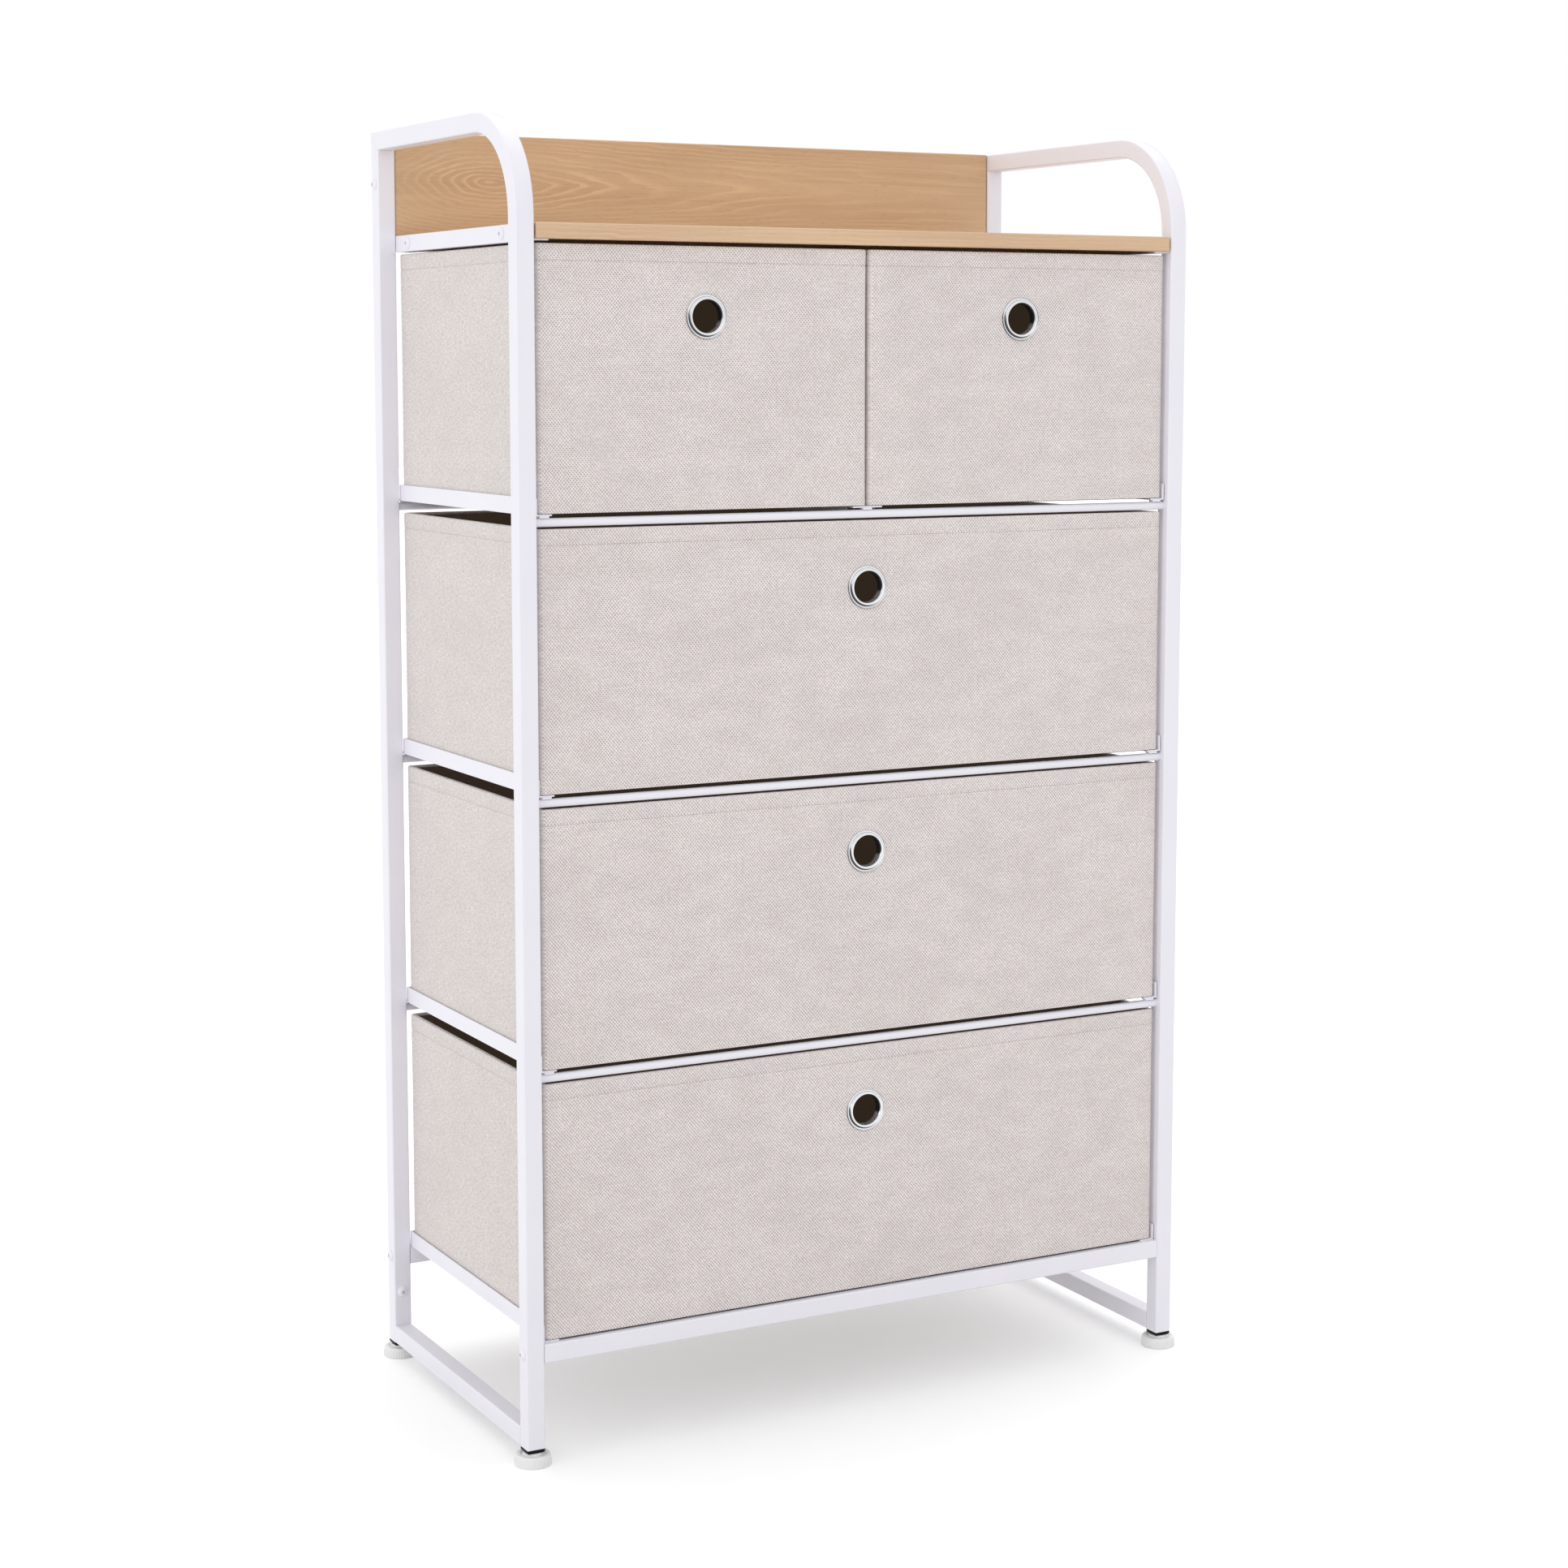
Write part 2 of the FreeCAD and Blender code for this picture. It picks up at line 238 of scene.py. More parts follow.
def blend_range(tree, value, low, high, start=0.0, end=1.0):
    """The value's stretch from low to high, mapped smoothly to start and end."""
    inputs = {"Value": value, "From Min": low, "From Max": high, "To Min": start, "To Max": end}
    return add_node(tree, "MapRange", inputs, interpolation_type="SMOOTHSTEP").outputs["Result"]


def varied(tree, value, start, end):
    """Level between start and end that follows a noise, without its rare extremes."""
    low_share = 0.2
    high_share = 0.8
    return blend_range(tree, value, low_share, high_share, start, end)


def centred(tree, value, span):
    """Noise from 0 to 1 turned into a swing to both sides of zero, with a span from end to end."""
    return maths(tree, "MULTIPLY", maths(tree, "SUBTRACT", value, 0.5), span)


def mixed(tree, factor, first, second):
    """Colour mixed from two colours."""
    node = add_node(tree, "Mix", data_type="RGBA")
    names = {socket.name: socket for socket in node.inputs if socket.enabled}
    for name, value in (("Factor", factor), ("A", first), ("B", second)):
        put(tree, names[name], value)
    return next(socket for socket in node.outputs if socket.enabled)


def raised(tree, height, strength, distance):
    """Surface direction over a relief of a given strength and height."""
    inputs = {"Height": height, "Strength": strength, "Distance": distance}
    return add_node(tree, "Bump", inputs).outputs["Normal"]


# Materials

def powder_coat():
    """White powder coat with fine orange peel."""
    peel_height = 0.0002
    material, tree, shader = start_material("white_powder_coat")
    place = object_place(tree)
    tone = grain(tree, place, scale=14.0, detail=3.0)
    peel = grain(tree, place, scale=700.0)
    set_inputs(tree, shader, {
        "Base Color": mixed(tree, tone, srgb(230, 228, 237), srgb(238, 236, 243)),
        "Roughness": varied(tree, peel, 0.36, 0.50),
        "Normal": raised(tree, peel, 0.08, peel_height),
    })
    return material


def cathedral_rings(tree, along, across):
    """Light growth lines, 1 on a line: ovals to the left of a heart, nested points to its right."""
    heart_along = -0.202
    heart_across = 1.1275
    left_stretch = 3.0
    right_stretch = 4.5
    slowing_length = 0.20
    oval_power = 2.0
    point_power = 1.9
    oval_end = -0.02
    point_start = 0.09
    ring_spacing = 0.0033
    wander_length = 0.014
    drift_length = 0.007
    figure_reach = 0.032
    crest_share = 0.15
    tail_share = 0.60
    far_share = 0.50
    wobble = grain(tree, stretched(tree, along, across, 8.0, 24.0), detail=4.0, roughness=0.6)
    wander = centred(tree, wobble, wander_length)
    offset = maths(tree, "ADD", maths(tree, "SUBTRACT", across, heart_across), wander)
    ahead = maths(tree, "SUBTRACT", along, heart_along)
    rightward = maths(tree, "MAXIMUM", ahead, 0.0)
    slowing = maths(tree, "ADD", maths(tree, "DIVIDE", rightward, slowing_length), 1.0)
    right = maths(tree, "DIVIDE", rightward, maths(tree, "MULTIPLY", slowing, right_stretch))
    left = maths(tree, "DIVIDE", maths(tree, "MINIMUM", ahead, 0.0), -left_stretch)
    power = blend_range(tree, ahead, oval_end, point_start, oval_power, point_power)
    along_part = maths(tree, "POWER", maths(tree, "ADD", right, left), power)
    across_part = maths(tree, "POWER", maths(tree, "ABSOLUTE", offset), power)
    whole = maths(tree, "ADD", along_part, across_part)
    distance = maths(tree, "POWER", whole, maths(tree, "DIVIDE", 1.0, power))
    drift = grain(tree, stretched(tree, along, across, 5.0, 70.0), detail=2.0)
    uneven = maths(tree, "ADD", distance, maths(tree, "MULTIPLY", drift, drift_length))
    ring = maths(tree, "FRACT", maths(tree, "DIVIDE", uneven, ring_spacing))
    rise = blend_range(tree, ring, 0.0, crest_share)
    fall = blend_range(tree, ring, crest_share, tail_share, 1.0, 0.0)
    line = maths(tree, "MULTIPLY", rise, fall)
    fade = blend_range(tree, distance, figure_reach / 2, figure_reach, 1.0, far_share)
    return maths(tree, "MULTIPLY", line, fade)


def oak():
    """Pale oak with a cathedral figure, fibres along X, short pores and a lighter front edge."""
    front_edge_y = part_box("top_board")[0].y
    edge_width = 0.0012
    edge_share = 0.24
    plain_end_x = 0.22
    plain_end_share = 0.70
    band_share = 0.35
    streak_share = 0.30
    pore_share = 0.30
    grain_height = 0.0002
    material, tree, shader = start_material("pale_oak")
    axes = split(tree, object_place(tree))
    along = axes["X"]
    across = maths(tree, "ADD", axes["Y"], axes["Z"])
    light_line = cathedral_rings(tree, along, across)
    fibre = grain(tree, stretched(tree, along, across, 11.0, 620.0), detail=4.0, roughness=0.65)
    pores = grain(tree, stretched(tree, along, across, 110.0, 1300.0), detail=1.0)
    patches = grain(tree, stretched(tree, along, across, 4.0, 34.0))
    strength = grain(tree, stretched(tree, along, across, 13.0, 40.0))
    bands = grain(tree, stretched(tree, along, across, 2.5, 160.0), detail=3.0)
    pore_mask = blend_range(tree, pores, 0.62, 0.74)
    body = mixed(tree, blend_range(tree, patches, 0.3, 0.7), srgb(197, 160, 124), srgb(210, 176, 139))
    banded = mixed(tree, blend_range(tree, bands, 0.45, 0.75, 0.0, band_share), body, srgb(190, 151, 114))
    plain_end = blend_range(tree, along, 0.0, plain_end_x, 1.0, plain_end_share)
    ring_share = maths(tree, "MULTIPLY", blend_range(tree, strength, 0.35, 0.7, 0.35, 0.95), plain_end)
    line_share = maths(tree, "MULTIPLY", light_line, ring_share)
    lined = mixed(tree, line_share, banded, srgb(227, 194, 152))
    streaks = blend_range(tree, fibre, 0.35, 0.75, 0.0, streak_share)
    streaked = mixed(tree, streaks, lined, srgb(222, 190, 155))
    pored = mixed(tree, maths(tree, "MULTIPLY", pore_mask, pore_share), streaked, srgb(158, 116, 82))
    edge = blend_range(tree, axes["Y"], front_edge_y, front_edge_y + edge_width, edge_share, 0.0)
    height = maths(tree, "SUBTRACT", maths(tree, "MULTIPLY", fibre, 0.4), pore_mask)
    set_inputs(tree, shader, {
        "Base Color": mixed(tree, edge, pored, srgb(226, 199, 172)),
        "Roughness": varied(tree, fibre, 0.46, 0.62),
        "Normal": raised(tree, height, 0.25, grain_height),
    })
    return material


def cloth_weave(tree, along, up):
    """Uneven threads, from 0 to 1, that run along and up the cloth."""
    weft_share = 0.62
    weft = grain(tree, stretched(tree, along, up, 190.0, 1900.0), detail=2.0)
    warp = grain(tree, stretched(tree, along, up, 1700.0, 420.0), detail=2.0)
    weft_part = maths(tree, "MULTIPLY", weft, weft_share)
    return maths(tree, "ADD", weft_part, maths(tree, "MULTIPLY", warp, 1 - weft_share))


def pinholes(tree, along, up):
    """Staggered rows of small round holes in the weave, 1 in a hole and 0 beside it."""
    column_pitch = 0.0026
    row_pitch = 0.0030
    drawn_share = 0.78
    hole_edge_share = 0.13
    hole_rim_share = 0.40
    columns = maths(tree, "DIVIDE", along, column_pitch)
    rows = maths(tree, "DIVIDE", up, row_pitch)
    rise = centred(tree, maths(tree, "FRACT", maths(tree, "ADD", columns, rows)), 1.0)
    drawn = centred(tree, maths(tree, "FRACT", maths(tree, "SUBTRACT", columns, rows)), drawn_share)
    square = maths(tree, "ADD", maths(tree, "MULTIPLY", rise, rise), maths(tree, "MULTIPLY", drawn, drawn))
    return blend_range(tree, maths(tree, "SQRT", square), hole_edge_share, hole_rim_share, 1.0, 0.0)


def linen():
    """Oatmeal cloth: pinholes on the front and back, plain threads with painted shade on the sides, and
    painted shade under the front edge.
    """
    front_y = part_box("drawer_4_cover")[0].y
    # Width of the painted shade band under the front edge
    painted_gap_shade_width = 0.014
    thread_shift = 0.0006
    row_sway = 0.0012
    weave_height = 0.0005
    knot_share = 0.75
    side_knot_share = 0.30
    hole_dark_share = 0.66
    hole_depth_share = 0.8
    material, tree, shader = start_material("oatmeal_linen")
    axes = split(tree, object_place(tree))
    facing = normal_axes(tree)
    along = maths(tree, "ADD", axes["X"], axes["Y"])
    up = axes["Z"]
    front = blend_range(tree, maths(tree, "ABSOLUTE", facing["Y"]), 0.80, 0.97)
    weave = cloth_weave(tree, along, up)
    slubs = grain(tree, stretched(tree, along, up, 38.0, 75.0), detail=3.0)
    clouds = grain(tree, stretched(tree, along, up, 9.0, 13.0), detail=2.0)
    knots = grain(tree, stretched(tree, along, up, 330.0, 440.0), detail=1.0)
    uneven = maths(tree, "ADD", weave, centred(tree, knots, knot_share))
    side_uneven = maths(tree, "ADD", weave, centred(tree, knots, side_knot_share))
    shift = centred(tree, weave, thread_shift)
    sway = centred(tree, slubs, row_sway)
    open_share = maths(tree, "MULTIPLY", front, blend_range(tree, slubs, 0.3, 0.7, 1.0, 0.90))
    dots = pinholes(tree, maths(tree, "ADD", along, shift), maths(tree, "ADD", up, sway))
    holes = maths(tree, "MULTIPLY", dots, open_share)
    tone = maths(tree, "MULTIPLY", maths(tree, "ADD", slubs, clouds), 0.5)
    yarn = mixed(tree, blend_range(tree, tone, 0.35, 0.65), srgb(235, 227, 225), srgb(244, 236, 234))
    front_shade = blend_range(tree, uneven, 0.68, 0.32, 0.0, 0.34)
    # Painted shade: the sides' cloth is darker than the front's, mixed further towards a shade colour that
    # is a little less pink there
    side_weave_and_painted_shade = blend_range(tree, side_uneven, 0.68, 0.32, 0.24, 0.80)
    side_part = maths(tree, "MULTIPLY", side_weave_and_painted_shade, maths(tree, "SUBTRACT", 1.0, front))
    weave_and_painted_shade = maths(tree, "ADD", maths(tree, "MULTIPLY", front_shade, front), side_part)
    weave_and_painted_shade_colour = mixed(tree, front, srgb(183, 177, 173), srgb(186, 176, 172))
    woven_with_painted_side_shade = mixed(tree, weave_and_painted_shade, yarn, weave_and_painted_shade_colour)
    dotted = mixed(tree, maths(tree, "MULTIPLY", holes, hole_dark_share), woven_with_painted_side_shade, srgb(132, 120, 117))
    height = maths(tree, "SUBTRACT", weave, maths(tree, "MULTIPLY", holes, hole_depth_share))
    # Painted shade: a dark band on the underside near the front stands in for the shadowed gap below the
    # drawer
    below = blend_range(tree, facing["Z"], -0.25, -0.75)
    near_front = blend_range(tree, axes["Y"], front_y + painted_gap_shade_width, front_y + painted_gap_shade_width / 2)
    painted_gap_shade = maths(tree, "MULTIPLY", below, near_front)
    set_inputs(tree, shader, {
        "Base Color": mixed(tree, painted_gap_shade, dotted, srgb(48, 40, 36)),
        "Roughness": varied(tree, weave, 0.98, 0.86),
        "Sheen Weight": 0.12,
        "Normal": raised(tree, height, 0.45, weave_height),
    })
    return material


def lining_cloth():
    """Dark brown non-woven lining, with a trace of glow for the light that seeps into a shut drawer."""
    weave_height = 0.0004
    material, tree, shader = start_material("dark_lining_cloth")
    axes = split(tree, object_place(tree))
    along = maths(tree, "ADD", axes["X"], axes["Y"])
    up = maths(tree, "ADD", axes["Z"], axes["Y"])
    weave = cloth_weave(tree, along, up)
    threads = blend_range(tree, weave, 0.35, 0.65)
    set_inputs(tree, shader, {
        "Base Color": mixed(tree, threads, srgb(38, 31, 27), srgb(66, 57, 50)),
        "Roughness": varied(tree, weave, 1.0, 0.88),
        "Normal": raised(tree, weave, 0.4, weave_height),
        "Emission Color": srgb(190, 159, 132),
        "Emission Strength": 0.05,
    })
    return material


def thread():
    """Sewing thread, a little greyer than the cloth."""
    twist_height = 0.0002
    material, tree, shader = start_material("sewing_thread")
    twist = grain(tree, object_place(tree), scale=2600.0)
    set_inputs(tree, shader, {
        "Base Color": mixed(tree, twist, srgb(176, 167, 163), srgb(206, 198, 194)),
        "Roughness": varied(tree, twist, 0.75, 0.9),
        "Normal": raised(tree, twist, 0.3, twist_height),
    })
    return material


def chrome():
    """Polished plating, satin inside the barrel, with a painted dark reflection on slopes that face down
    and to the left.
    """
    left_share = 0.45
    down_share = 0.75
    painted_reflection_share = 0.95
    barrel_roughness = 0.55
    mark_height = 0.0001
    material, tree, shader = start_material("polished_chrome")
    marks = grain(tree, object_place(tree), scale=420.0, detail=4.0, roughness=0.7)
    facing = normal_axes(tree)
    leftward = maths(tree, "MULTIPLY", facing["X"], -left_share)
    downward = maths(tree, "MULTIPLY", facing["Z"], -down_share)
    slope = blend_range(tree, maths(tree, "ADD", leftward, downward), 0.08, 0.32)
    barrel = blend_range(tree, maths(tree, "ABSOLUTE", facing["Y"]), 0.5, 0.1)
    polish = blend_range(tree, marks, 0.3, 0.8, 0.08, 0.20)
    # Painted reflection: slopes that face down and to the left are darkened towards a dark grey
    painted_dark_reflection = maths(tree, "MULTIPLY", slope, painted_reflection_share)
    plating = mixed(tree, marks, srgb(216, 216, 219), srgb(236, 236, 239))
    set_inputs(tree, shader, {
        "Base Color": mixed(tree, painted_dark_reflection, plating, srgb(50, 50, 54)),
        "Metallic": 1.0,
        "Roughness": maths(tree, "MAXIMUM", polish, maths(tree, "MULTIPLY", barrel, barrel_roughness)),
        "Normal": raised(tree, marks, 0.03, mark_height),
    })
    return material


def moulded_plastic(name, dark, light, shine):
    """Moulded plastic with a fine grain."""
    grain_height = 0.0002
    material, tree, shader = start_material(name)
    place = object_place(tree)
    tone = grain(tree, place, scale=90.0, detail=3.0)
    fine = grain(tree, place, scale=1900.0)
    set_inputs(tree, shader, {
        "Base Color": mixed(tree, tone, dark, light),
        "Roughness": varied(tree, fine, 0.42, 0.56),
        "Specular IOR Level": shine,
        "Normal": raised(tree, fine, 0.06, grain_height),
    })
    return material


def threaded_steel():
    """Zinc-plated steel with a thread along Z."""
    thread_pitch = 0.00125
    thread_height = 0.0003
    material, tree, shader = start_material("threaded_steel")
    place = object_place(tree)
    axes = split(tree, place)
    ridges = maths(tree, "SINE", maths(tree, "MULTIPLY", axes["Z"], 2 * math.pi / thread_pitch))
    stain = grain(tree, place, scale=260.0, detail=3.0)
    set_inputs(tree, shader, {
        "Base Color": mixed(tree, stain, srgb(150, 150, 152), srgb(190, 190, 192)),
        "Metallic": 1.0,
        "Roughness": varied(tree, stain, 0.25, 0.42),
        "Normal": raised(tree, ridges, 0.7, thread_height),
    })
    return material


def fibreboard():
    """Raw fibreboard of the boards inside the drawer walls."""
    fibre_height = 0.0003
    material, tree, shader = start_material("raw_fibreboard")
    fibre = grain(tree, object_place(tree), scale=600.0, detail=4.0, roughness=0.7)
    set_inputs(tree, shader, {
        "Base Color": mixed(tree, fibre, srgb(128, 98, 70), srgb(176, 143, 108)),
        "Roughness": varied(tree, fibre, 0.8, 0.95),
        "Normal": raised(tree, fibre, 0.2, fibre_height),
    })
    return material


def all_materials():
    """Material of each slot in the record, and the stitches' own."""
    return {
        "white_metal": powder_coat(),
        "oak_board": oak(),
        "linen_fabric": linen(),
        "dark_lining": lining_cloth(),
        "fibreboard": fibreboard(),
        "chrome": chrome(),
        "white_plastic": moulded_plastic("white_plastic", srgb(226, 226, 226), srgb(236, 236, 236), 0.5),
        "black_plastic": moulded_plastic("black_plastic", srgb(4, 4, 5), srgb(12, 12, 13), 0.15),
        "bare_steel": threaded_steel(),
        "thread": thread(),
    }


# Mesh helpers

def linked(shape, name):
    """Object in the scene, made from mesh data."""
    mesh = bpy.data.meshes.new(name)
    shape.to_mesh(mesh)
    shape.free()
    piece = bpy.data.objects.new(name, mesh)
    bpy.context.collection.objects.link(piece)
    return piece


def finished(shape, name, material, body, angle=smooth_angle):
    """Piece made from mesh data, shaded smooth except at sharp edges, that rides on a body."""
    piece = linked(shape, name)
    piece.data.materials.append(material)
    smooth(piece.data, angle)
    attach(piece, body)
    return piece


def smooth(mesh, angle):
    """Smooth shading, except where faces meet at more than an angle in degrees."""
    mesh.polygons.foreach_set("use_smooth", [True] * len(mesh.polygons))
    mesh.set_sharp_from_angle(angle=math.radians(angle))


def ring(low, high, inset, radius):
    """Marks round a box with rounded corners, each a point and its outward direction."""
    turn = max(radius - inset, least_corner)
    edge = inset + turn
    centres = (
        Vector((high.x - edge, low.y + edge, 0)),
        Vector((high.x - edge, high.y - edge, 0)),
        Vector((low.x + edge, high.y - edge, 0)),
        Vector((low.x + edge, low.y + edge, 0)),
    )
    counts = [round((high.y - low.y) / side_step), round((high.x - low.x) / side_step)] * 2
    marks = []
    for corner, centre in enumerate(centres):
        for step in range(arc_steps + 1):
            angle = (corner - 1 + step / arc_steps) * math.pi / 2
            out = Vector((math.cos(angle), math.sin(angle), 0))
            marks.append((centre + out * turn, out))
        start = centre + out * turn
        end = centres[(corner + 1) % len(centres)] + out * turn
        for step in range(1, counts[corner]):
            marks.append((start.lerp(end, step / counts[corner]), out))
    return marks


def shell(low, high, steps, radius):
    """Closed mesh through rings, each at an inset and a height, and sunk unevenly by its slack."""
    shape = bmesh.new()
    rows = []
    for inset, height, slack in steps:
        row = []
        for mark, out in ring(low, high, inset, radius):
            place = Vector((mark.x, mark.y, low.z + height))
            sink = slack * (1 + noise.noise(place / slack_patch)) / 2
            row.append(shape.verts.new(place - out * sink))
        rows.append(row)
    for lower, upper in zip(rows, rows[1:]):
        for here in range(len(lower)):
            after = (here + 1) % len(lower)
            shape.faces.new((lower[here], lower[after], upper[after], upper[here]))
    shape.faces.new(reversed(rows[0]))
    shape.faces.new(rows[-1])
    return shape


def arc(start_angle, end_angle, count):
    """Cosine and sine of evenly spaced angles in degrees."""
    for step in range(count + 1):
        angle = math.radians(start_angle + (end_angle - start_angle) * step / count)
        yield math.cos(angle), math.sin(angle)


def turned(profile, steps, reach=None, closed=False):
    """Mesh turned about Z from (radius, height) marks. A reach function may change a mark's radius."""
    shape = bmesh.new()
    columns = []
    for step in range(steps):
        angle = 2 * math.pi * step / steps
        column = []
        for radius, height in profile:
            span = reach(angle, radius, height) if reach else radius
            column.append(shape.verts.new((span * math.cos(angle), span * math.sin(angle), height)))
        columns.append(column)
    count = len(profile)
    for step in range(steps):
        here = columns[step]
        after = columns[(step + 1) % steps]
        for mark in range(count if closed else count - 1):
            follows = (mark + 1) % count
            shape.faces.new((here[mark], after[mark], after[follows], here[follows]))
    bmesh.ops.remove_doubles(shape, verts=shape.verts, dist=merge_distance)
    bmesh.ops.recalc_face_normals(shape, faces=shape.faces)
    return shape


def moved(shape, place, axis):
    """Turns mesh data from Z to an axis and moves it to a place."""
    turn = UP.rotation_difference(axis).to_matrix().to_4x4()
    shape.transform(Matrix.Translation(place) @ turn)
    return shape


def joined(shapes):
    """One mesh from several."""
    whole = bmesh.new()
    for shape in shapes:
        part = bpy.data.meshes.new("part")
        shape.to_mesh(part)
        shape.free()
        whole.from_mesh(part)
        bpy.data.meshes.remove(part)
    return whole


# Drawers

def cover_steps(height):
    """Inset, height and slack of each ring, from the bottom edge up, over the hem and down inside."""
    steps = []
    for across, rise in arc(90, 0, arc_steps):
        steps.append((cover_bottom_radius * (1 - across), cover_bottom_radius * (1 - rise), 0))
    hem_slack = cloth_slack * hem_slack_share
    seam = height - seam_drop
    wall_end = seam - 2 * seam_half_width
    for row in range(1, wall_row_count + 1):
        share = row / wall_row_count
        rise = cover_bottom_radius + (wall_end - cover_bottom_radius) * share
        steps.append((0, rise, cloth_slack * math.sqrt(math.sin(math.pi * share)) + hem_slack * share))
    steps.append((0, seam - seam_half_width, hem_slack))
    steps.append((seam_depth, seam, 0))
    steps.append((0, seam + seam_half_width, hem_slack))
    shoulder = height - cover_top_radius
    steps.append((0, (seam + shoulder) / 2, hem_slack))
    for across, rise in arc(0, 90, arc_steps):
        steps.append((cover_top_radius * (1 - across), shoulder + cover_top_radius * rise, 0))
    inner_edge = wall_thickness - hem_inner_radius
    inner_shoulder = height - hem_inner_radius
    for across, rise in arc(90, 0, arc_steps):
        steps.append((inner_edge + hem_inner_radius * across, inner_shoulder + hem_inner_radius * rise, 0))
    steps.append((wall_thickness, height - hem_thickness, 0))
    steps.append((cloth_thickness, height - hem_thickness, 0))
    steps.append((cloth_thickness, cloth_thickness, 0))
    return steps


def lining_steps(height):
    """Rings up the outside of the lining and down its inside."""
    steps = [(0, 0, 0), (0, height, 0), (lining_thickness, height, 0)]
    for row in range(wall_row_count - 1, 0, -1):
        share = row / wall_row_count
        rise = lining_thickness + (height - lining_thickness) * share
        steps.append((lining_thickness, rise, -lining_slack * math.sin(math.pi * share)))
    for across, drop in arc(0, 90, arc_steps):
        inset = lining_thickness + lining_floor_radius * (1 - across)
        steps.append((inset, lining_thickness + lining_floor_radius * (1 - drop), 0))
    return steps


def stitches(low, high):
    """Row of stitches in the hem's seam, all round a drawer."""
    height = high.z - seam_drop
    marks = ring(low, high, seam_depth, cover_corner_radius)
    loop = [mark + UP * height for mark, out in marks]
    shape = bmesh.new()
    carried = 0.0
    for start, end in zip(loop, loop[1:] + loop[:1]):
        length = (end - start).length
        while carried < length:
            add_stitch(shape, start.lerp(end, carried / length), (end - start).normalized())
            carried += stitch_pitch
        carried -= length
    return shape


def add_stitch(shape, middle, along):
    """Spindle of thread along the seam."""
    faces_per_side = 3
    side = along.cross(UP)
    tips = [shape.verts.new(middle + along * (stitch_length / 2) * way) for way in (-1, 1)]
    belts = []
    for way in (-1, 1):
        belt = []
        centre = middle + along * (stitch_length / 4) * way
        for corner in range(stitch_sides):
            angle = 2 * math.pi * corner / stitch_sides
            out = side * math.cos(angle) + UP * math.sin(angle)
            belt.append(shape.verts.new(centre + out * stitch_radius))
        belts.append(belt)
    for here in range(stitch_sides):
        after = (here + 1) % stitch_sides
        shape.faces.new((belts[0][here], belts[0][after], belts[1][after], belts[1][here]))
        shape.faces.new((tips[0], belts[0][after], belts[0][here]))
        shape.faces.new((tips[1], belts[1][here], belts[1][after]))
    bmesh.ops.recalc_face_normals(shape, faces=shape.faces[-faces_per_side * stitch_sides:])


def hole_cutter(middle):
    """Round bar through the front wall where the eyelet goes."""
    reach = wall_thickness + cut_overrun
    profile = ((0, -reach), (eyelet_cut_radius, -reach), (eyelet_cut_radius, 2 * reach), (0, 2 * reach))
    return linked(moved(turned(profile, eyelet_steps), middle, INWARD), "hole_cutter")


def cut_hole(piece, cutter):
    """Cuts the bar out of a piece's own mesh."""
    change = piece.modifiers.new("eyelet_hole", "BOOLEAN")
    change.operation = "DIFFERENCE"
    change.solver = "EXACT"
    change.object = cutter
    depsgraph = bpy.context.evaluated_depsgraph_get()
    cut = bpy.data.meshes.new_from_object(piece.evaluated_get(depsgraph))
    piece.modifiers.clear()
    piece.data = cut
    smooth(cut, smooth_angle)


def eyelet_shape():
    """Rolled rim and a bead round the hole, a barrel, and a lip flared over behind the lining."""
    rim_middle = eyelet_flange_radius - eyelet_rim_radius
    bead_middle = eyelet_hole_radius + eyelet_bead_inner_width
    back = wall_thickness + lining_thickness
    profile = [(eyelet_flange_radius, 0)]
    for across, rise in arc(0, 180, 2 * arc_steps):
        profile.append((rim_middle + eyelet_rim_radius * across, -eyelet_rim_radius * (1 + rise)))
    for across, rise in arc(0, 180, 3 * arc_steps):
        width = eyelet_bead_outer_width if across > 0 else eyelet_bead_inner_width
        profile.append((bead_middle + width * across, -eyelet_flat_height - eyelet_bead_rise * rise))
    profile.append((eyelet_hole_radius, back - eyelet_barrel_wall))
    for across, rise in arc(180, 90, arc_steps):
        lip_radius = eyelet_hole_radius + eyelet_lip_reach * (1 + across)
        profile.append((lip_radius, back + eyelet_barrel_wall * rise))
    profile.append((eyelet_barrel_radius + eyelet_lip_reach, back))
    profile.append((eyelet_barrel_radius, back))
    profile.append((eyelet_barrel_radius, 0))
    return turned(profile, eyelet_steps, closed=True)


def build_drawer(name, materials):
    """Cloth cover, lining, stitches and eyelet of one drawer, in place of its solids."""
    low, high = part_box(name + "_cover")
    eyelet_low, eyelet_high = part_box(name + "_eyelet")
    middle = (eyelet_low + eyelet_high) / 2
    middle.y = low.y
    cutter = hole_cutter(middle)
    cloth = shell(low, high, cover_steps(high.z - low.z), cover_corner_radius)
    cover = finished(cloth, name + "_cloth", materials["linen_fabric"], name)
    cut_hole(cover, cutter)
    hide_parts(name + "_cover")
    inner_low, inner_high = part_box(name + "_lining")
    inner = shell(inner_low, inner_high, lining_steps(inner_high.z - inner_low.z), least_corner)
    lining = finished(inner, name + "_inner_cloth", materials["dark_lining"], name)
    cut_hole(lining, cutter)
    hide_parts(name + "_lining")
    bpy.data.objects.remove(cutter)
    seam = stitches(low, high)
    finished(seam, name + "_stitches", materials["thread"], name, stitch_smooth_angle)
    metal = moved(eyelet_shape(), middle, INWARD)
    eyelet = finished(metal, name + "_ring", materials["chrome"], name)
    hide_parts(name + "_eyelet")


# Feet and screws

